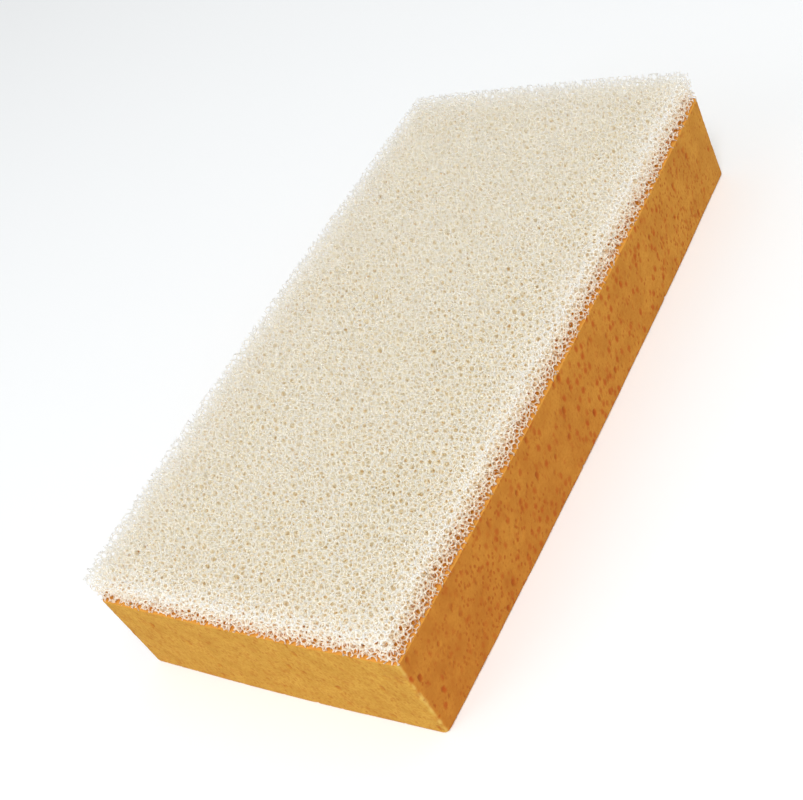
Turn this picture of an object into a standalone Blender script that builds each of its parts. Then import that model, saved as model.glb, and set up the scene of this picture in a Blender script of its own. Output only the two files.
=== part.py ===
"""Two-layer grout sponge: an absorbent foam block with an open net scrubbing pad bonded to its top.

Blender 4.5, metres, +Z up. The origin is the centre of the underside, +Y runs along the length.
The pieces are plain closed solids, one above the other: the block, the adhesive film and the pad.
"""

import math

import bmesh
import bpy

# Overall sizes, bowed sides included.
LENGTH = 0.200
WIDTH = 0.100

# The layers, from the underside up.
BLOCK_HEIGHT = 0.0282
FILM_THICKNESS = 0.0004
PAD_HEIGHT = 0.0092
LAYER_GAP = 0.0003

# The foam swells a little after it is cut, so each side is furthest out at its middle.
LONG_SIDE_BOW = 0.0014
END_BOW = 0.0006

# Roundings: the four upright corners, the block's lower rim and the pad's upper rim.
CORNER_RADIUS = 0.0015
BLOCK_RIM_RADIUS = 0.0008
PAD_RIM_RADIUS = 0.0012

# The film stops short of the foam's edge, where the glue is kept back from the cut.
FILM_INSET = 0.0050

# How finely the curves are drawn.
CORNER_STEPS = 6
SIDE_STEPS = 14
RIM_STEPS = 3
SHARP_ANGLE = math.radians(50)

# Colours are linear red, green and blue.
FINISHES = {
    "block_foam": {"color": (0.66, 0.30, 0.055), "roughness": 0.95},
    "bond_film": {"color": (0.88, 0.72, 0.45), "roughness": 0.5},
    "net_foam": {"color": (0.80, 0.76, 0.62), "roughness": 0.80},
}


def clear_scene():
    for thing in list(bpy.data.objects):
        bpy.data.objects.remove(thing, do_unlink=True)


def make_material(name):
    finish = FINISHES[name]
    material = bpy.data.materials.new(name)
    material.use_nodes = True
    shader = material.node_tree.nodes["Principled BSDF"]
    shader.inputs["Base Color"].default_value = (*finish["color"], 1.0)
    shader.inputs["Roughness"].default_value = finish["roughness"]
    shader.inputs["Metallic"].default_value = 0.0
    return material


def straight(start, end, steps):
    """Points from start up to, but not including, end."""
    return [
        tuple(a + (b - a) * i / steps for a, b in zip(start, end)) for i in range(steps)
    ]


def rounded_rectangle(half_x, half_y, radius):
    """Anticlockwise outline of a rectangle with round corners and evenly divided sides."""
    corners = [(1, -1), (1, 1), (-1, 1), (-1, -1)]
    points = []
    for quarter, (sx, sy) in enumerate(corners):
        centre = (sx * (half_x - radius), sy * (half_y - radius))
        first_angle = math.radians(90 * quarter - 90)
        arc = []
        for step in range(CORNER_STEPS + 1):
            angle = first_angle + math.radians(90) * step / CORNER_STEPS
            arc.append(
                (
                    centre[0] + radius * math.cos(angle),
                    centre[1] + radius * math.sin(angle),
                )
            )
        if points:
            points += straight(points.pop(), arc[0], SIDE_STEPS)
        points += arc
    points += straight(points.pop(), points[0], SIDE_STEPS)
    return points


def bowed_outline(inset):
    """The sponge's outline seen from above, moved in by inset on every side."""
    half_x = WIDTH / 2 - LONG_SIDE_BOW - inset
    half_y = LENGTH / 2 - END_BOW - inset
    radius = max(CORNER_RADIUS - inset, CORNER_RADIUS / 4)
    outline = []
    for x, y in rounded_rectangle(half_x, half_y, radius):
        swell_x = LONG_SIDE_BOW * (1 - (y / half_y) ** 2)
        swell_y = END_BOW * (1 - (x / half_x) ** 2)
        outline.append((x * (1 + swell_x / half_x), y * (1 + swell_y / half_y)))
    return outline


def make_layer(name, material, bottom, height, inset=0.0, rim=None, rim_radius=0.0):
    """A closed slab of the sponge's outline, whose origin is the centre of its own underside.

    rim is "bottom" or "top", the one rim that is rounded. The cut between two layers stays sharp.
    """
    shape = bmesh.new()
    floor = shape.faces.new(
        [shape.verts.new((x, y, 0.0)) for x, y in bowed_outline(inset)]
    )
    risen = bmesh.ops.extrude_face_region(shape, geom=[floor])["geom"]
    top_points = [part for part in risen if isinstance(part, bmesh.types.BMVert)]
    bmesh.ops.translate(shape, verts=top_points, vec=(0.0, 0.0, height))
    bmesh.ops.recalc_face_normals(shape, faces=shape.faces)
    if rim:
        rim_height = height if rim == "top" else 0.0
        rim_edges = [
            edge
            for edge in shape.edges
            if all(abs(point.co.z - rim_height) < height * 0.1 for point in edge.verts)
        ]
        bmesh.ops.bevel(
            shape,
            geom=rim_edges,
            offset=min(rim_radius, height * 0.45),
            segments=RIM_STEPS,
            profile=0.5,
            affect="EDGES",
        )
    mesh = bpy.data.meshes.new(name)
    shape.to_mesh(mesh)
    shape.free()
    mesh.materials.append(make_material(material))
    mesh.shade_smooth()
    mesh.set_sharp_from_angle(angle=SHARP_ANGLE)
    layer = bpy.data.objects.new(name, mesh)
    layer.location.z = bottom
    bpy.context.scene.collection.objects.link(layer)
    return layer


def build():
    clear_scene()
    make_layer(
        "sponge_block",
        "block_foam",
        bottom=0.0,
        height=BLOCK_HEIGHT,
        rim="bottom",
        rim_radius=BLOCK_RIM_RADIUS,
    )
    film_bottom = BLOCK_HEIGHT + LAYER_GAP
    make_layer(
        "adhesive_film",
        "bond_film",
        bottom=film_bottom,
        height=FILM_THICKNESS,
        inset=FILM_INSET,
    )
    make_layer(
        "scrub_pad",
        "net_foam",
        bottom=film_bottom + FILM_THICKNESS + LAYER_GAP,
        height=PAD_HEIGHT,
        rim="top",
        rim_radius=PAD_RIM_RADIUS,
    )


build()
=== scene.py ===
import itertools
import math

import bpy
import numpy as np
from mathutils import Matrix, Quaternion, Vector
from mathutils.kdtree import KDTree


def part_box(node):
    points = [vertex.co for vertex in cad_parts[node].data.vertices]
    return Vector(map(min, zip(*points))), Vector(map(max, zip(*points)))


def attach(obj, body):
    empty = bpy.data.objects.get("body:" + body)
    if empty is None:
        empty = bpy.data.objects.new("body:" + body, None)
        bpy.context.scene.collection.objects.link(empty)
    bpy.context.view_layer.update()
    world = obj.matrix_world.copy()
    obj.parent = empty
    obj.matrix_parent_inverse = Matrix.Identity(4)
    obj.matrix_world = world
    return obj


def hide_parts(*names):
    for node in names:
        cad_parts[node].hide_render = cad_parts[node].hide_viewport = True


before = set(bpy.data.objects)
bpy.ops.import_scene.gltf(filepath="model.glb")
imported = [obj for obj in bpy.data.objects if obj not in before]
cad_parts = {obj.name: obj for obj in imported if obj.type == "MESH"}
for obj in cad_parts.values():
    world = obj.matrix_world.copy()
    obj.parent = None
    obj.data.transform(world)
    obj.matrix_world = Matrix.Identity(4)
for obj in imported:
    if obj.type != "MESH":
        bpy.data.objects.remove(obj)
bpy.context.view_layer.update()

# ---------------------------------------------------------------------------------------------
# Sizes, in metres. The layers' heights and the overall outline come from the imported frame.

block_low, block_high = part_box("sponge_block")
film_low, film_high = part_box("adhesive_film")
pad_low, pad_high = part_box("scrub_pad")

HALF_WIDTH = (block_high.x - block_low.x) / 2
HALF_LENGTH = (block_high.y - block_low.y) / 2
LONG_SIDE_BOW = 0.0014
END_BOW = 0.0006
CORNER_RADIUS = 0.0015

# The absorbent block.
BLOCK_GRID = 0.00042
BLOCK_RIM_RADIUS = 0.0008
SURFACE_WAVE = 0.00012
GRAIN_DEPTH = 0.00004
BIG_PORES = 500
SMALL_PORES = 5500
PORE_DEPTH = 0.45

# The net: cell volume is that of a ball of the cell's diameter.
CELL_DIAMETER = 0.0025
CELL_JITTER = 0.25
CORE_DEPTH = 0.0030
CORE_GROWTH = 1.25
NET_SINK = 0.0002
PAD_RIM_RADIUS = 0.0010
STRAND_RADIUS = 0.000150
KNOT_SIZE = 0.00027
THICK_DEPTH = 0.0018
THICK_SHARE = 1.2
SHORTEST_STRAND = 0.00038
NEIGHBOURS = 22
# The net's painted reflected light: orange from the block, low down and at the cut sides.
PAINTED_BOUNCE_HEIGHT = 0.0085
PAINTED_BOUNCE_STRENGTH = 0.75
PAINTED_BOUNCE_CORE_SHARE = 0.15
PAINTED_BOUNCE_BAND = 0.0050
TILES_X = 4
TILES_Y = 6

# The camera's place round the object, and the lens.
CAMERA_AIM = Vector((-0.0009, -0.0165, 0.0192))
CAMERA_DISTANCE = 0.3675
CAMERA_AZIMUTH = 49.43
CAMERA_ELEVATION = 37.76
CAMERA_ROLL = -31.45
CAMERA_LENS = 60.0

# Light passes from strand to strand many times before it leaves the net.
LIGHT_BOUNCES = 32


# ---------------------------------------------------------------------------------------------
# Small helpers


def new_mesh(name, points, faces, smooth):
    """A mesh from an array of points and a list of face arrays, each n by 3 or n by 4."""
    mesh = bpy.data.meshes.new(name)
    sizes = np.concatenate([np.full(len(f), f.shape[1], np.int32) for f in faces])
    loops = np.concatenate([f.ravel() for f in faces]).astype(np.int32)
    starts = np.concatenate([[0], np.cumsum(sizes)[:-1]]).astype(np.int32)
    mesh.vertices.add(len(points))
    mesh.vertices.foreach_set("co", points.astype(np.float32).ravel())
    mesh.loops.add(len(loops))
    mesh.loops.foreach_set("vertex_index", loops)
    mesh.polygons.add(len(sizes))
    mesh.polygons.foreach_set("loop_start", starts)
    mesh.update(calc_edges=True)
    mesh.polygons.foreach_set("use_smooth", np.full(len(sizes), smooth))
    return mesh


def new_piece(mesh, material, slot, *replaced):
    """An object that rides on the one body and stands for CAD nodes; slot is not used."""
    piece = bpy.data.objects.new(mesh.name, mesh)
    bpy.context.scene.collection.objects.link(piece)
    mesh.materials.append(material)
    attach(piece, "root")
    if replaced:
        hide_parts(*replaced)
    return piece


def lattice_noise(points, cell, seed):
    """Smooth noise from -1 to 1 that changes over about one cell's length."""
    rng = np.random.default_rng(seed)
    size = 64
    table = rng.uniform(-1, 1, (size, size, size))
    scaled = points / cell + 1000.0
    base = np.floor(scaled).astype(int)
    part = scaled - base
    part = part * part * (3 - 2 * part)
    total = np.zeros(len(points))
    for corner in itertools.product((0, 1), repeat=3):
        weight = np.prod(np.where(corner, part, 1 - part), axis=1)
        i, j, k = ((base + corner) % size).T
        total += weight * table[i, j, k]
    return total


def bowed(points):
    """Pushes each side of a straight-sided outline outwards at its middle, as the cut foam swells."""
    half_x, half_y = HALF_WIDTH - LONG_SIDE_BOW, HALF_LENGTH - END_BOW
    x, y = points[:, 0].copy(), points[:, 1].copy()
    points = points.copy()
    points[:, 0] += x / half_x * LONG_SIDE_BOW * (1 - (y / half_y) ** 2)
    points[:, 1] += y / half_y * END_BOW * (1 - (x / half_x) ** 2)
    return points


def unbowed(points):
    """The place that bowed() would have moved here, to first order."""
    moved = bowed(points)
    return 2 * points - moved


# ---------------------------------------------------------------------------------------------
# Materials


def shader_nodes(name):
    material = bpy.data.materials.new(name)
    material.use_nodes = True
    tree = material.node_tree
    return material, tree, tree.nodes["Principled BSDF"]


def add_node(tree, kind, inputs=(), **settings):
    """A node with its settings made and its inputs set or linked."""
    node = tree.nodes.new(kind)
    for key, value in settings.items():
        setattr(node, key, value)
    for key, value in dict(inputs).items():
        if isinstance(value, bpy.types.NodeSocket):
            tree.links.new(value, node.inputs[key])
        else:
            node.inputs[key].default_value = value
    return node


def mix_colors(tree, factor, first, second, blend="MIX"):
    """The colour output of a mix of two colours, each a socket or a value."""
    node = add_node(tree, "ShaderNodeMix", data_type="RGBA", blend_type=blend)
    for socket, value in ((0, factor), (6, first), (7, second)):
        if isinstance(value, bpy.types.NodeSocket):
            tree.links.new(value, node.inputs[socket])
        else:
            node.inputs[socket].default_value = value
    return node.outputs[2]


def spread(tree, value, low, high, to_low=0.0, to_high=1.0):
    """value mapped from low..high to to_low..to_high, and kept between them."""
    node = add_node(
        tree,
        "ShaderNodeMapRange",
        {0: value, 1: low, 2: high, 3: to_low, 4: to_high},
        clamp=True,
    )
    return node.outputs[0]


def flecks(tree, place, scale, low, high):
    """1 in the small round cells of a random few of many places, 0 elsewhere."""
    cells = add_node(tree, "ShaderNodeTexVoronoi", {"Vector": place, "Scale": scale})
    picked = add_node(tree, "ShaderNodeSeparateColor", {0: cells.outputs["Color"]})
    return add_node(
        tree,
        "ShaderNodeMath",
        {
            0: spread(tree, cells.outputs["Distance"], high, low),
            1: spread(tree, picked.outputs[0], 0.20, 0.65),
        },
        operation="MULTIPLY",
    ).outputs[0]


def sponge_material():
    """Matt orange foam: fine grain and soft blotches, with painted shade in the pores and on the long
    sides, and a painted highlight on the upright corners.

    The top, which only shows through the net, is painted lighter: painted light against the shade under
    the net.
    """
    material, tree, shader = shader_nodes("orange_foam")
    place = add_node(tree, "ShaderNodeTexCoord").outputs["Object"]
    blotch = add_node(
        tree, "ShaderNodeTexNoise", {"Vector": place, "Scale": 170.0, "Detail": 3.0}
    )
    grain = add_node(
        tree, "ShaderNodeTexNoise", {"Vector": place, "Scale": 1500.0, "Detail": 4.0}
    )
    drift = add_node(
        tree, "ShaderNodeTexNoise", {"Vector": place, "Scale": 1400.0, "Detail": 1.0}
    )
    drifted = add_node(
        tree,
        "ShaderNodeVectorMath",
        {0: drift.outputs["Color"], 1: (0.0007, 0.0007, 0.0007), 2: place},
        operation="MULTIPLY_ADD",
    )
    tall = add_node(
        tree,
        "ShaderNodeVectorMath",
        {0: drifted.outputs[0], 1: (1.0, 1.0, 0.7)},
        operation="MULTIPLY",
    )
    fleck = flecks(tree, tall.outputs[0], 800.0, 0.20, 0.40)
    patch = flecks(tree, tall.outputs[0], 430.0, 0.18, 0.44)
    pore = add_node(tree, "ShaderNodeAttribute", attribute_name="pore").outputs["Fac"]
    edge = add_node(tree, "ShaderNodeAttribute", attribute_name="edge").outputs["Fac"]
    facing = add_node(
        tree,
        "ShaderNodeSeparateXYZ",
        {0: add_node(tree, "ShaderNodeTexCoord").outputs["Normal"]},
    )
    long_side = add_node(
        tree, "ShaderNodeMath", {0: facing.outputs[0], 1: facing.outputs[0]}, operation="MULTIPLY"
    ).outputs[0]
    base = mix_colors(
        tree,
        spread(tree, blotch.outputs["Fac"], 0.35, 0.65),
        (0.575, 0.303, 0.047, 1),
        (0.655, 0.366, 0.062, 1),
    )
    # Painted shade: the long sides are made redder, more so towards the -y end.
    shaded_orange = mix_colors(
        tree,
        spread(tree, blotch.outputs["Fac"], 0.35, 0.65),
        (0.480, 0.160, 0.019, 1),
        (0.560, 0.216, 0.028, 1),
    )
    along = add_node(tree, "ShaderNodeSeparateXYZ", {0: place}).outputs[1]
    painted_side_shade = add_node(
        tree,
        "ShaderNodeMath",
        {
            0: spread(tree, long_side, 0.2, 0.8),
            1: spread(tree, along, -HALF_LENGTH, HALF_LENGTH, 0.95, 0.50),
        },
        operation="MULTIPLY",
    ).outputs[0]
    base = mix_colors(tree, painted_side_shade, base, shaded_orange)
    base = mix_colors(
        tree,
        spread(tree, grain.outputs["Fac"], 0.42, 0.66, 0.0, 0.40),
        base,
        (0.460, 0.148, 0.016, 1),
    )
    # Painted highlight: paler yellow on the upright corners.
    base = mix_colors(
        tree, spread(tree, edge, 0.0, 1.0, 0.0, 0.65), base, (0.740, 0.520, 0.130, 1)
    )
    fleck_strength = add_node(
        tree,
        "ShaderNodeMath",
        {0: fleck, 1: spread(tree, long_side, 0.2, 0.8, 0.40, 0.75)},
        operation="MULTIPLY",
    ).outputs[0]
    base = mix_colors(tree, fleck_strength, base, (0.415, 0.092, 0.011, 1))
    patch_strength = add_node(
        tree,
        "ShaderNodeMath",
        {0: patch, 1: spread(tree, long_side, 0.2, 0.8, 0.25, 0.80)},
        operation="MULTIPLY",
    ).outputs[0]
    base = mix_colors(tree, patch_strength, base, (0.445, 0.080, 0.010, 1))
    # Painted shade: darker red deeper in the pore hollows, more on the long sides.
    pore_shade_strength = add_node(
        tree,
        "ShaderNodeMath",
        {0: spread(tree, pore, 0.05, 0.8), 1: spread(tree, long_side, 0.2, 0.8, 0.45, 0.75)},
        operation="MULTIPLY",
    ).outputs[0]
    base = mix_colors(tree, pore_shade_strength, base, (0.390, 0.074, 0.010, 1))
    # Painted light: the upward-facing top is made a lighter orange.
    painted_top_light = spread(tree, facing.outputs[2], 0.5, 0.9)
    base = mix_colors(tree, painted_top_light, base, (0.670, 0.315, 0.057, 1))
    tree.links.new(base, shader.inputs["Base Color"])
    shader.inputs["Roughness"].default_value = 0.95
    shader.inputs["Specular IOR Level"].default_value = 0.12
    fleck_bump = add_node(
        tree,
        "ShaderNodeBump",
        {"Height": fleck, "Strength": 0.15, "Distance": 0.0003},
        invert=True,
    )
    grain_bump = add_node(
        tree,
        "ShaderNodeBump",
        {
            "Height": grain.outputs["Fac"],
            "Normal": fleck_bump.outputs["Normal"],
            "Strength": 0.18,
            "Distance": 0.0002,
        },
    )
    tree.links.new(grain_bump.outputs["Normal"], shader.inputs["Normal"])
    return material


def net_material():
    """Off-white foam strands that let light through, a little uneven in tone from place to place.

    Their feet are painted orange: painted light reflected up from the block, strongest near the cut
    sides.
    """
    material, tree, shader = shader_nodes("white_net_foam")
    place = add_node(tree, "ShaderNodeTexCoord").outputs["Object"]
    flat = add_node(
        tree, "ShaderNodeVectorMath", {0: place, 1: (1.0, 1.0, 0.0)}, operation="MULTIPLY"
    ).outputs[0]
    cloud = add_node(
        tree, "ShaderNodeTexNoise", {"Vector": flat, "Scale": 45.0, "Detail": 2.0}
    )
    height = add_node(tree, "ShaderNodeSeparateXYZ", {0: place}).outputs[2]
    side = add_node(tree, "ShaderNodeAttribute", attribute_name="side").outputs["Fac"]
    # Painted reflected light: fades with height over the block, weaker away from the cut sides.
    depth = add_node(
        tree,
        "ShaderNodeMath",
        {
            0: spread(tree, height, block_high.z, block_high.z + PAINTED_BOUNCE_HEIGHT, 1.0, 0.0),
            1: spread(tree, side, 0.0, 1.0, PAINTED_BOUNCE_CORE_SHARE * PAINTED_BOUNCE_STRENGTH, PAINTED_BOUNCE_STRENGTH),
        },
        operation="MULTIPLY",
    ).outputs[0]
    base = mix_colors(
        tree,
        spread(tree, cloud.outputs["Fac"], 0.35, 0.65),
        (0.992, 0.982, 0.925, 1),
        (0.988, 0.974, 0.900, 1),
    )
    base = mix_colors(tree, depth, base, (0.975, 0.740, 0.340, 1))
    tree.links.new(base, shader.inputs["Base Color"])
    shader.inputs["Roughness"].default_value = 0.5
    shader.inputs["Specular IOR Level"].default_value = 0.3
    shader.inputs["Subsurface Weight"].default_value = 1.0
    shader.inputs["Subsurface Radius"].default_value = (1.0, 1.0, 1.0)
    shader.inputs["Subsurface Scale"].default_value = 0.003
    return material


def film_material():
    """Milky glue over orange foam: pale peach, slightly shiny where it is smooth."""
    material, tree, shader = shader_nodes("milky_glue")
    place = add_node(tree, "ShaderNodeTexCoord").outputs["Object"]
    cloud = add_node(
        tree, "ShaderNodeTexNoise", {"Vector": place, "Scale": 300.0, "Detail": 3.0}
    )
    base = mix_colors(
        tree,
        spread(tree, cloud.outputs["Fac"], 0.35, 0.65),
        (0.97, 0.86, 0.68, 1),
        (0.98, 0.90, 0.75, 1),
    )
    tree.links.new(base, shader.inputs["Base Color"])
    shader.inputs["Roughness"].default_value = 0.5
    return material


# ---------------------------------------------------------------------------------------------
# The absorbent block


def axis_steps(half, step):
    count = max(2, round(2 * half / step))
    return np.linspace(-half, half, count + 1)


def grid_face(first, second, place):
    """One side of the box: a grid over two axes. Returns its points and its quads' local corners."""
    a, b = np.meshgrid(first, second, indexing="ij")
    points = place(a.ravel(), b.ravel())
    index = np.arange(a.size).reshape(a.shape)
    quads = np.stack(
        [index[:-1, :-1], index[1:, :-1], index[1:, 1:], index[:-1, 1:]], axis=-1
    ).reshape(-1, 4)
    return points, quads


def box_grid(half_x, half_y, bottom, top, step):
    """A closed box of small quads, with the sheet of the map that each point lies on."""
    xs, ys = axis_steps(half_x, step), axis_steps(half_y, step)
    zs = bottom + (axis_steps((top - bottom) / 2, step) + (top - bottom) / 2)
    same = np.full_like
    sides = [
        (xs, ys, lambda a, b: np.stack([a, b, same(a, top)], 1)),
        (ys, xs, lambda a, b: np.stack([b, a, same(a, bottom)], 1)),
        (ys, zs, lambda a, b: np.stack([same(a, half_x), a, b], 1)),
        (zs, ys, lambda a, b: np.stack([same(a, -half_x), b, a], 1)),
        (zs, xs, lambda a, b: np.stack([b, same(a, half_y), a], 1)),
        (xs, zs, lambda a, b: np.stack([a, same(a, -half_y), b], 1)),
    ]
    all_points, all_quads, all_sides, offset = [], [], [], 0
    for side, (first, second, place) in enumerate(sides):
        points, quads = grid_face(first, second, place)
        all_points.append(points)
        all_quads.append(quads + offset)
        all_sides.append(np.full(len(quads), side))
        offset += len(points)
    points = np.concatenate(all_points)
    keys = np.round(points * 1e7).astype(np.int64)
    _, first_of, merged = np.unique(
        keys, axis=0, return_index=True, return_inverse=True
    )
    quads = merged.ravel()[np.concatenate(all_quads)]
    return points[first_of], quads, np.concatenate(all_sides)


def squared_to_round(first, second):
    """Maps a square corner onto a quarter disc, row by row of both positive coordinates."""
    longest = np.maximum(first, second)
    length = np.hypot(first, second)
    factor = np.where(length > 0, longest / np.maximum(length, 1e-12), 1.0)
    return first * factor, second * factor


def rounded_box(points, half_x, half_y, bottom, rim):
    """Rounds the four upright corners and the lower rim of a box's points."""
    points = points.copy()
    sign_x, sign_y = np.sign(points[:, 0]), np.sign(points[:, 1])
    in_x = np.abs(points[:, 0]) - (half_x - CORNER_RADIUS)
    in_y = np.abs(points[:, 1]) - (half_y - CORNER_RADIUS)
    corner = (in_x > 0) & (in_y > 0)
    new_x, new_y = squared_to_round(in_x[corner], in_y[corner])
    points[corner, 0] = sign_x[corner] * (half_x - CORNER_RADIUS + new_x)
    points[corner, 1] = sign_y[corner] * (half_y - CORNER_RADIUS + new_y)

    in_x = np.abs(points[:, 0]) - (half_x - CORNER_RADIUS)
    in_y = np.abs(points[:, 1]) - (half_y - CORNER_RADIUS)
    away = np.stack([np.maximum(in_x, 0), np.maximum(in_y, 0)], 1)
    reach = np.where(
        (in_x > 0) & (in_y > 0), np.linalg.norm(away, axis=1), np.maximum(in_x, in_y)
    )
    outward = np.where(
        ((in_x > 0) & (in_y > 0))[:, None],
        away,
        np.stack([in_x >= in_y, in_x < in_y], 1).astype(float),
    )
    outward /= np.maximum(np.linalg.norm(outward, axis=1), 1e-12)[:, None]
    outward *= np.stack([sign_x, sign_y], 1)
    to_side = rim - (CORNER_RADIUS - reach)
    to_floor = rim - (points[:, 2] - bottom)
    edge = (to_side > 0) & (to_floor > 0)
    side, floor = squared_to_round(to_side[edge], to_floor[edge])
    points[edge, :2] += outward[edge] * (side - to_side[edge])[:, None]
    points[edge, 2] -= floor - to_floor[edge]
    return points


def mesh_normals(mesh):
    normals = np.zeros(len(mesh.vertices) * 3, np.float32)
    mesh.vertex_normals.foreach_get("vector", normals)
    return normals.reshape(-1, 3).astype(float)


def pore_depths(points, normals, seed):
    """How deep each point lies in an open pore: an oval hollow that the cut went through.

    The hollows are taller than they are wide, as the foam rose when it was made.
    """
    rng = np.random.default_rng(seed)
    stretch = np.array([1.0, 1.0, 0.62])
    squeezed = points * stretch
    tree = KDTree(len(points))
    for i, p in enumerate(squeezed):
        tree.insert(p, i)
    tree.balance()
    rough = 1 + 0.35 * lattice_noise(points, 0.0007, seed + 1)
    depths = np.zeros(len(points))
    radii = np.concatenate(
        [
            rng.uniform(0.00055, 0.00080, BIG_PORES),
            rng.uniform(0.00026, 0.00046, SMALL_PORES),
        ]
    )
    chosen = rng.integers(0, len(points), len(radii))
    sinks = rng.uniform(-0.50, 0.30, len(radii))
    for radius, at, sink in zip(radii, chosen, sinks):
        normal = normals[at] * stretch
        normal /= np.linalg.norm(normal)
        centre = squeezed[at] - normal * radius * sink
        found = tree.find_range(centre, radius)
        if not found:
            continue
        near = np.array([f[1] for f in found])
        away = squeezed[near] - centre
        along = away @ normal
        inside = radius**2 - (away**2).sum(1) + along**2
        depth = (along + np.sqrt(np.maximum(inside, 0))) * rough[near]
        depths[near] = np.maximum(depths[near], np.clip(depth, 0, 1.3 * radius))
    return depths


def corner_highlight_shares(points):
    """1 on the upright corners, else 0: where a painted highlight goes on the foam."""
    straight = unbowed(points)
    in_x = np.abs(straight[:, 0]) - (HALF_WIDTH - LONG_SIDE_BOW - CORNER_RADIUS)
    in_y = np.abs(straight[:, 1]) - (HALF_LENGTH - END_BOW - CORNER_RADIUS)
    corner = np.minimum(in_x, in_y) / CORNER_RADIUS
    ragged = 0.25 * lattice_noise(points, 0.0016, 31)
    return np.clip((corner + ragged - 0.40) / 0.4, 0, 1)


def sheet_map(mesh, points, quads, sides):
    """A map of the block's six sides, laid out beside each other with a border between them."""
    border = 0.004
    tall = block_high.z - block_low.z
    wide, long = 2 * HALF_WIDTH, 2 * HALF_LENGTH
    # For each side: the axes that run across and up its sheet, and the sheet's middle on the map.
    layout = [
        (0, 1, border + wide / 2, border + long / 2),
        (0, 1, 2 * border + wide * 1.5, border + long / 2),
        (2, 1, 3 * border + wide * 2 + tall / 2, border + long / 2),
        (2, 1, 4 * border + wide * 2 + tall * 1.5, border + long / 2),
        (0, 2, border + wide / 2, 2 * border + long + tall / 2),
        (0, 2, 2 * border + wide * 1.5, 2 * border + long + tall / 2),
    ]
    size = 5 * border + wide * 2 + tall * 2
    middle = np.array([0, 0, (block_low.z + block_high.z) / 2])
    corners = (points - middle)[quads]
    uv = np.zeros((*quads.shape, 2), np.float32)
    for side, (across, up, u, v) in enumerate(layout):
        on = sides == side
        uv[on, :, 0] = corners[on][..., across] + u
        uv[on, :, 1] = corners[on][..., up] + v
    layer = mesh.uv_layers.new(name="OFBake")
    layer.data.foreach_set("uv", (uv / size).ravel())


def make_block():
    """The orange foam block: cut pores, a slightly uneven skin and softly swollen sides."""
    half_x, half_y = HALF_WIDTH - LONG_SIDE_BOW, HALF_LENGTH - END_BOW
    bottom, top = block_low.z, block_high.z
    flat_points, quads, sides = box_grid(half_x, half_y, bottom, top, BLOCK_GRID)
    points = rounded_box(flat_points, half_x, half_y, bottom, BLOCK_RIM_RADIUS)
    points = bowed(points)
    mesh = new_mesh("sponge_body", points, [quads], smooth=True)
    normals = mesh_normals(mesh)
    wave = lattice_noise(points, 0.016, 3) * SURFACE_WAVE
    grain = lattice_noise(points, 0.0009, 5) * GRAIN_DEPTH
    depths = pore_depths(points, normals, 6)
    edges = corner_highlight_shares(points)
    on_floor = points[:, 2] < bottom + 0.0005
    lift = np.where(on_floor, -np.abs(wave), wave) + np.where(on_floor, 0, grain)
    points = points + normals * (lift - depths * PORE_DEPTH)[:, None]
    mesh.vertices.foreach_set("co", points.astype(np.float32).ravel())
    # How deep each point lies in a pore, for the painted shade there.
    pore = mesh.attributes.new("pore", "FLOAT", "POINT")
    pore.data.foreach_set("value", np.clip(depths / 0.0008, 0, 1).astype(np.float32))
    # The painted highlight on the upright corners, kept as the edge attribute.
    edge = mesh.attributes.new("edge", "FLOAT", "POINT")
    edge.data.foreach_set("value", edges.astype(np.float32))
    sheet_map(mesh, flat_points, quads, sides)
    mesh.update()
    piece = new_piece(mesh, sponge_material(), "block_foam", "sponge_block")
    return piece


# ---------------------------------------------------------------------------------------------
# The glue between the foams


def make_film():
    """The glue film: a thin uneven sheet on the block's top, kept back from the cut edges."""
    inset = HALF_WIDTH - (film_high.x - film_low.x) / 2
    half_x = HALF_WIDTH - LONG_SIDE_BOW - inset
    half_y = HALF_LENGTH - END_BOW - inset
    low = block_high.z - 0.0001
    points, quads, _ = box_grid(half_x, half_y, low, film_low.z, 0.001)
    ragged = lattice_noise(points, 0.005, 11) * 0.0007
    points[:, 0] += np.sign(points[:, 0]) * ragged * (np.abs(points[:, 0]) > half_x - 0.0001)
    points[:, 1] += np.sign(points[:, 1]) * ragged * (np.abs(points[:, 1]) > half_y - 0.0001)
    points = bowed(points)
    upper = points[:, 2] > film_low.z - 1e-6
    points[upper, 2] += lattice_noise(points[upper], 0.0022, 12) * 0.00018
    mesh = new_mesh("glue_film", points, [quads], smooth=True)
    layer = mesh.uv_layers.new(name="OFBake")
    corners = points[quads].reshape(-1, 3)
    flat = corners[:, :2] / (2 * HALF_LENGTH) + 0.5
    layer.data.foreach_set("uv", flat.astype(np.float32).ravel())
    return new_piece(mesh, film_material(), "bond_film", "adhesive_film")


# ---------------------------------------------------------------------------------------------
# The net pad: the edges of a foam's cells, as strands that meet four by four in knots


def past_cuts(points):
    """How far each point lies past the pad's cut top and sides, negative inside."""
    straight = unbowed(points)
    past = np.stack(
        [
            np.abs(straight[:, 0]) - (HALF_WIDTH - LONG_SIDE_BOW),
            np.abs(straight[:, 1]) - (HALF_LENGTH - END_BOW),
            straight[:, 2] - pad_high.z,
        ],
        1,
    )
    past += PAD_RIM_RADIUS
    corner = np.linalg.norm(np.maximum(past, 0), axis=1)
    return corner + np.minimum(past.max(1), 0) - PAD_RIM_RADIUS


def outside(points):
    """How far each point lies outside the pad, negative inside. The net ends just in the block."""
    return np.maximum(past_cuts(points), (block_high.z - NET_SINK) - points[:, 2])


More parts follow.
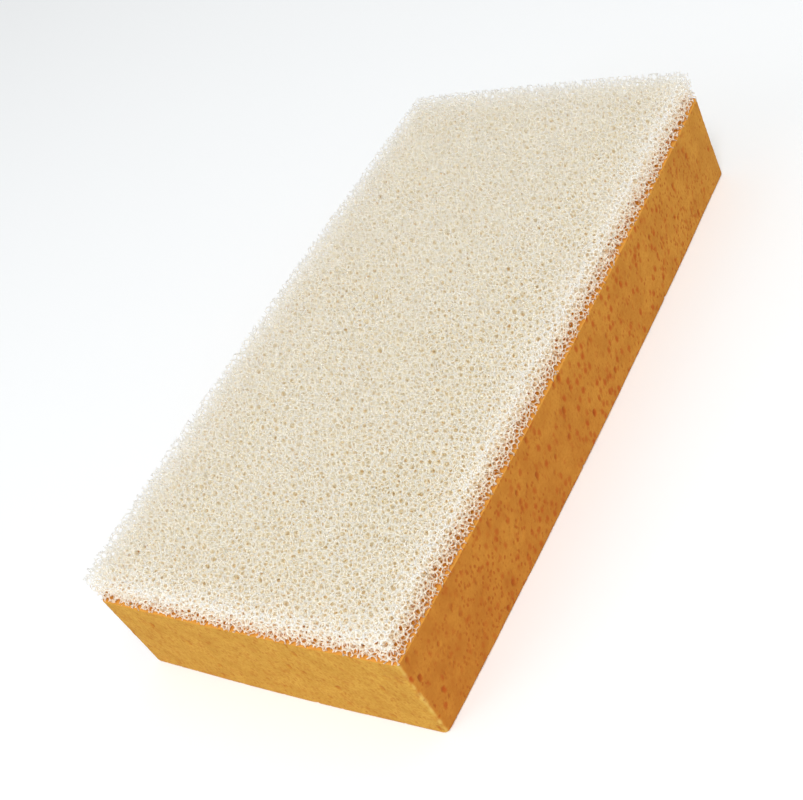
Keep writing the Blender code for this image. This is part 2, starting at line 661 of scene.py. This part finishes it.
def pulled_inside(points):
    """Moves points that lie past a cut face onto it."""
    for _ in range(3):
        far = outside(points)
        past = far > 0
        if not past.any():
            break
        at = points[past]
        small = 1e-6
        slope = np.stack(
            [
                outside(at + small * axis) - outside(at - small * axis)
                for axis in np.eye(3)
            ],
            1,
        ) / (2 * small)
        points[past] = at - slope * far[past][:, None]
    return points


def nearest_centres(centres, count):
    tree = KDTree(len(centres))
    for i, p in enumerate(centres):
        tree.insert(p, i)
    tree.balance()
    return np.array([[f[1] for f in tree.find_n(p, count + 1)[1:]] for p in centres])


def core_share(points):
    """0 near the pad's cut faces and 1 deep inside it, where the cells are let grow."""
    return np.clip((-past_cuts(points) - CORE_DEPTH) / CELL_DIAMETER, 0, 1)


def thickness(points):
    """How thick the strands are at each point, as a share of their thickness at the cut faces."""
    share = np.clip((-past_cuts(points) - THICK_DEPTH) / THICK_DEPTH, 0, 1)
    return 1 + (THICK_SHARE - 1) * share


def side_share(points):
    """1 at the pad's cut sides, falling to 0 a little way in."""
    straight = np.abs(unbowed(points))
    inward = np.minimum(
        HALF_WIDTH - LONG_SIDE_BOW - straight[:, 0], HALF_LENGTH - END_BOW - straight[:, 1]
    )
    return np.clip(1 - inward / PAINTED_BOUNCE_BAND, 0, 1)


def cell_centres(rng):
    """Random, evenly spread cell centres, reaching past the pad on every side."""
    volume = math.pi / 6 * CELL_DIAMETER**3
    step = (2 * volume) ** (1 / 3)
    low = np.array([-HALF_WIDTH, -HALF_LENGTH, block_high.z]) - 1.4 * step
    high = np.array([HALF_WIDTH, HALF_LENGTH, pad_high.z]) + 1.4 * step
    axes = [np.arange(a, b, step) for a, b in zip(low, high)]
    grid = np.stack(np.meshgrid(*axes, indexing="ij"), -1).reshape(-1, 3)
    points = np.concatenate([grid, grid + 0.5 * step])
    points += rng.normal(0, CELL_JITTER * step, points.shape)
    kept_share = 1 + core_share(points) * (1 / CORE_GROWTH**3 - 1)
    points = points[rng.random(len(points)) < kept_share]
    for _ in range(3):
        near = nearest_centres(points, 12)
        for _ in range(4):
            reach = step * (1 + core_share(points) * (CORE_GROWTH - 1))
            away = points[:, None, :] - points[near]
            apart = np.linalg.norm(away, axis=2, keepdims=True)
            push = np.maximum(reach[:, None, None] - apart, 0) / np.maximum(apart, 1e-9)
            points = points + 0.16 * (away * push).sum(1)
    return points[np.lexsort(points.T)], step


def cell_corners(centres, step):
    """The points that are equally far from four centres and nearer to no other.

    Returns the corners and, for each, its four cells in rising order.
    """
    near = nearest_centres(centres, NEIGHBOURS + 8)
    later = [row[:NEIGHBOURS][row[:NEIGHBOURS] > i] for i, row in enumerate(near)]
    counts = np.array([len(row) for row in later])
    corners, cells = [], []
    for count in range(3, NEIGHBOURS + 1):
        group = np.flatnonzero(counts == count)
        triples = np.array(list(itertools.combinations(range(count), 3)))
        batch = max(1, 400000 // len(triples))
        for start in range(0, len(group), batch):
            own = group[start : start + batch]
            choice = np.array([np.sort(later[i]) for i in own])[:, triples]
            first = np.repeat(own, len(triples))
            others = choice.reshape(-1, 3)
            origin = centres[first]
            a, b, c = (centres[others[:, k]] - origin for k in range(3))
            bc = np.cross(b, c)
            volume = 2 * (a * bc).sum(1)
            solid = np.abs(volume) > 1e-14
            first, others, origin = first[solid], others[solid], origin[solid]
            a, b, c, bc, volume = a[solid], b[solid], c[solid], bc[solid], volume[solid]
            at = (
                (a * a).sum(1)[:, None] * bc
                + (b * b).sum(1)[:, None] * np.cross(c, a)
                + (c * c).sum(1)[:, None] * np.cross(a, b)
            ) / volume[:, None]
            radius = (at * at).sum(1)
            small = radius < (1.1 * CORE_GROWTH * step) ** 2
            small &= outside(at + origin) < step
            first, others, origin = first[small], others[small], origin[small]
            at, radius = at[small] + origin, radius[small]
            away = centres[near[first]] - at[:, None, :]
            empty = ((away * away).sum(2) > radius[:, None] * (1 - 1e-7)).all(1)
            corners.append(at[empty])
            cells.append(np.concatenate([first[empty, None], others[empty]], 1))
    return np.concatenate(corners), np.sort(np.concatenate(cells), 1)


def strands_between(cells):
    """Pairs of corners that share three cells. Returns each corner's neighbour across each cell.

    Column k of the result is the corner reached along the strand that leaves cell k out, or -1.
    """
    total = int(cells.max()) + 1
    keys, owners = [], []
    for left_out in range(4):
        kept = np.delete(cells, left_out, axis=1).astype(np.int64)
        keys.append((kept[:, 0] * total + kept[:, 1]) * total + kept[:, 2])
        owners.append(np.arange(len(cells)) * 4 + left_out)
    keys, owners = np.concatenate(keys), np.concatenate(owners)
    order = np.argsort(keys, kind="stable")
    keys, owners = keys[order], owners[order]
    same = np.flatnonzero(keys[1:] == keys[:-1])
    ends = np.stack([owners[same], owners[same + 1]], 1)
    neighbour = np.full(len(cells) * 4, -1)
    neighbour[ends[:, 0]] = ends[:, 1] // 4
    neighbour[ends[:, 1]] = ends[:, 0] // 4
    return neighbour.reshape(-1, 4), ends


def relaxed(corners, neighbour, ends, rounds=12):
    """Evens out the strands: each knot moves towards its neighbours' middle, short strands grow."""
    start, end = ends[:, 0] // 4, ends[:, 1] // 4
    whole = (neighbour >= 0).all(1)
    for _ in range(rounds):
        middle = corners[neighbour[whole]].mean(1)
        corners[whole] += 0.35 * (middle - corners[whole])
        along = corners[end] - corners[start]
        length = np.linalg.norm(along, axis=1)
        short = np.maximum(SHORTEST_STRAND - length, 0) / np.maximum(length, 1e-9)
        push = 0.35 * along * short[:, None]
        for axis in range(3):
            corners[:, axis] += np.bincount(end, push[:, axis], len(corners))
            corners[:, axis] -= np.bincount(start, push[:, axis], len(corners))
    return corners


def unit(vectors):
    return vectors / np.maximum(np.linalg.norm(vectors, axis=-1, keepdims=True), 1e-12)


# A knot joins four cells, named 0 to 3, and four strands, each named for the one cell that it
# doesn't touch. A ridge lies between each pair of cells.
PAIRS = list(itertools.combinations(range(4), 2))
STRAND_CELLS = [[c for c in range(4) if c != left_out] for left_out in range(4)]
STRAND_RIDGES = [
    [PAIRS.index(pair) for pair in itertools.combinations(kept, 2)]
    for kept in STRAND_CELLS
]
CELL_RIDGES = [[r for r, pair in enumerate(PAIRS) if c in pair] for c in range(4)]
RING_SIDES = [(0, 1), (0, 2), (1, 2)]


def crossing(start, end):
    """Where the line from start, inside the pad, to end, outside it, meets a cut face."""
    low, high = np.zeros(len(start)), np.ones(len(start))
    for _ in range(14):
        middle = (low + high) / 2
        past = outside(start + (end - start) * middle[:, None]) > 0
        high = np.where(past, middle, high)
        low = np.where(past, low, middle)
    return start + (end - start) * low[:, None]


def wound(faces, turn):
    """The faces, with the corners of the marked ones taken the other way round."""
    return np.where(turn[:, None], faces[:, ::-1], faces)


def net_shape():
    """The whole net as points, and for each knot its triangles, its quads and its strands' caps.

    A strand is drawn in two halves, one with each knot, which meet in a ring of three points.
    """
    rng = np.random.default_rng(21)
    centres, step = cell_centres(rng)
    corners, cells = cell_corners(centres, step)
    neighbour, ends = strands_between(cells)
    corners = relaxed(corners, neighbour, ends)
    partner = np.full(len(corners) * 4, -1)
    partner[ends[:, 0]], partner[ends[:, 1]] = ends[:, 1], ends[:, 0]

    direction = unit(corners[neighbour] - corners[:, None, :])
    ridges = np.stack(
        [
            unit(sum(direction[:, n] for n in range(4) if n not in pair))
            for pair in PAIRS
        ],
        1,
    )
    kept = (outside(corners) < 0) & (neighbour >= 0).all(1)
    kept &= kept[neighbour].any(1)
    knots = np.flatnonzero(kept)

    halves = (knots[:, None] * 4 + np.arange(4)).ravel()
    joined = kept[neighbour.ravel()[halves]]
    names = np.where(joined, np.minimum(halves, partner[halves]), halves)
    ring_names, first_of, ring_of = np.unique(
        names, return_index=True, return_inverse=True
    )
    own, far = halves[first_of], partner[halves[first_of]]
    own_place, far_place = corners[own // 4], corners[far // 4]
    centre = (own_place + far_place) / 2
    cut = ~joined[first_of]
    centre[cut] = crossing(own_place[cut], far_place[cut])
    along = unit(far_place - own_place)
    slots = np.array(STRAND_RIDGES)
    offset = (
        ridges[(own // 4)[:, None], slots[own % 4]]
        + ridges[(far // 4)[:, None], slots[far % 4]]
    )
    offset -= (offset * along[:, None, :]).sum(2)[..., None] * along[:, None, :]
    offset = unit(offset) * (STRAND_RADIUS * thickness(centre))[:, None, None]
    ring_points = centre[:, None, :] + offset

    knot_sizes = (KNOT_SIZE * thickness(corners[knots]))[:, None, None]
    knot_points = corners[knots][:, None, :] + ridges[knots] * knot_sizes
    ring_start = len(knots) * 6
    points = pulled_inside(
        np.concatenate([knot_points.reshape(-1, 3), ring_points.reshape(-1, 3)])
    )

    ring_of = ring_of.reshape(-1, 4)
    # Which way round a knot's faces go follows from which way round its four cells lie.
    around = centres[cells[knots]]
    right_handed = np.linalg.det(around[:, 1:] - around[:, :1]) > 0
    knot_ids = np.arange(len(knots))
    triangles, quads, caps, rings = [], [], [], []
    for c in range(4):
        faces = knot_ids[:, None] * 6 + np.array(CELL_RIDGES[c])
        triangles.append(wound(faces, right_handed == (c % 2 == 0)))
    for s in range(4):
        at_knot = knot_ids[:, None] * 6 + slots[s]
        at_ring = ring_start + ring_of[:, s, None] * 3 + np.arange(3)
        for k, (p, q) in enumerate(RING_SIDES):
            faces = np.stack(
                [at_knot[:, p], at_knot[:, q], at_ring[:, q], at_ring[:, p]], 1
            )
            quads.append(wound(faces, right_handed == ((s + k) % 2 == 0)))
        caps.append(wound(at_ring, right_handed == (s % 2 == 0)))
        rings.append(ring_of[:, s])
    return corners[knots], points, ring_start, triangles, quads, caps, rings


def mark_ridges(mesh, is_ring, is_capped):
    """Makes the ridges along the strands and the rims of their cut ends sharp, the rest smooth."""
    ends = np.zeros(len(mesh.edges) * 2, np.int32)
    mesh.edges.foreach_get("vertices", ends)
    first, second = ends.reshape(-1, 2).T
    sharp = is_ring[first] != is_ring[second]
    sharp |= is_capped[first] & is_capped[second]
    mesh.attributes.new("sharp_edge", "BOOLEAN", "EDGE").data.foreach_set("value", sharp)


def make_net():
    """The pad's net in tiles, each one closed: where a strand leaves a tile, both halves are capped."""
    places, points, ring_start, triangles, quads, caps, rings = net_shape()
    across = np.clip((places[:, 0] / (2 * HALF_WIDTH) + 0.5) * TILES_X, 0, TILES_X - 1)
    up = np.clip((places[:, 1] / (2 * HALF_LENGTH) + 0.5) * TILES_Y, 0, TILES_Y - 1)
    tile_of = across.astype(int) * TILES_Y + up.astype(int)
    material = net_material()
    tile_size = max(2 * HALF_WIDTH / TILES_X, 2 * HALF_LENGTH / TILES_Y) * 1.1
    for tile in range(TILES_X * TILES_Y):
        on = tile_of == tile
        ring_uses = np.bincount(
            np.concatenate([r[on] for r in rings]), minlength=int(rings[0].max()) + 1
        )
        closing = [c[on][ring_uses[r[on]] == 1] for c, r in zip(caps, rings)]
        three = np.concatenate([t[on] for t in triangles] + closing)
        four = np.concatenate([q[on] for q in quads])
        used = np.unique(np.concatenate([three.ravel(), four.ravel()]))
        new_id = np.zeros(len(points), np.int64)
        new_id[used] = np.arange(len(used))
        mesh = new_mesh(
            f"net_pad_{tile + 1:02d}", points[used], [new_id[three], new_id[four]], True
        )
        is_ring = used >= ring_start
        is_capped = is_ring & (ring_uses[(used - ring_start) // 3] == 1)
        mark_ridges(mesh, is_ring, is_capped)
        # Where the painted reflected light is strongest, at the cut sides.
        side = mesh.attributes.new("side", "FLOAT", "POINT")
        side.data.foreach_set("value", side_share(points[used]).astype(np.float32))
        corner_ids = np.concatenate([three.ravel(), four.ravel()])
        low = points[used][:, :2].min(0)
        layer = mesh.uv_layers.new(name="OFBake")
        flat = (points[corner_ids][:, :2] - low) / tile_size
        layer.data.foreach_set("uv", flat.astype(np.float32).ravel())
        piece = new_piece(mesh, material, "net_foam", "scrub_pad")


# ---------------------------------------------------------------------------------------------
# Floor, light and camera


def make_stage():
    """A plain pale floor, wide enough that its edge stays out of every view."""
    size = 4.0
    mesh = bpy.data.meshes.new("floor")
    mesh.from_pydata(
        [(-size, -size, 0), (size, -size, 0), (size, size, 0), (-size, size, 0)],
        [],
        [(0, 1, 2, 3)],
    )
    floor = bpy.data.objects.new("floor", mesh)
    bpy.context.scene.collection.objects.link(floor)
    material, _, shader = shader_nodes("pale_floor")
    shader.inputs["Base Color"].default_value = (0.95, 0.97, 0.98, 1)
    shader.inputs["Roughness"].default_value = 0.9
    mesh.materials.append(material)


def add_light(name, place, size, power, aim=(0, 0, 0.02), color=(1, 1, 1)):
    lamp = bpy.data.lights.new(name, "AREA")
    lamp.size, lamp.energy, lamp.color = size, power, color
    lamp.shape = "DISK"
    light = bpy.data.objects.new(name, lamp)
    light.location = place
    light.rotation_mode = "QUATERNION"
    light.rotation_quaternion = (Vector(aim) - Vector(place)).to_track_quat("-Z", "Y")
    bpy.context.scene.collection.objects.link(light)


def make_light():
    scene = bpy.context.scene
    scene.view_settings.view_transform = "Standard"
    scene.cycles.max_bounces = LIGHT_BOUNCES
    scene.cycles.diffuse_bounces = LIGHT_BOUNCES
    world = bpy.data.worlds.new("studio")
    world.use_nodes = True
    sky = world.node_tree.nodes["Background"]
    sky.inputs["Color"].default_value = (1.0, 1.0, 1.0, 1)
    tree = world.node_tree
    direction = add_node(tree, "ShaderNodeTexCoord").outputs["Generated"]
    upward = add_node(tree, "ShaderNodeSeparateXYZ", {0: direction}).outputs[2]
    tree.links.new(spread(tree, upward, 0.0, 0.25, 0.80, 0.46), sky.inputs["Strength"])
    bpy.context.scene.world = world
    add_light("front", (0.88, -0.92, 2.04), 1.2, 39.0)
    add_light("left", (-0.35, -0.75, 0.60), 0.5, 1.0)


def make_camera():
    azimuth, elevation = math.radians(CAMERA_AZIMUTH), math.radians(CAMERA_ELEVATION)
    back = Vector(
        (
            math.sin(azimuth) * math.cos(elevation),
            -math.cos(azimuth) * math.cos(elevation),
            math.sin(elevation),
        )
    )
    data = bpy.data.cameras.new("camera")
    data.lens, data.sensor_width = CAMERA_LENS, 36.0
    data.clip_start, data.clip_end = 0.01, 50.0
    camera = bpy.data.objects.new("camera", data)
    camera.location = CAMERA_AIM + back * CAMERA_DISTANCE
    camera.rotation_mode = "QUATERNION"
    level = (-back).to_track_quat("-Z", "Y")
    camera.rotation_quaternion = level @ Quaternion((0, 0, 1), math.radians(CAMERA_ROLL))
    bpy.context.scene.collection.objects.link(camera)
    bpy.context.scene.camera = camera


make_camera()
make_stage()
make_light()
make_block()
make_film()
make_net()
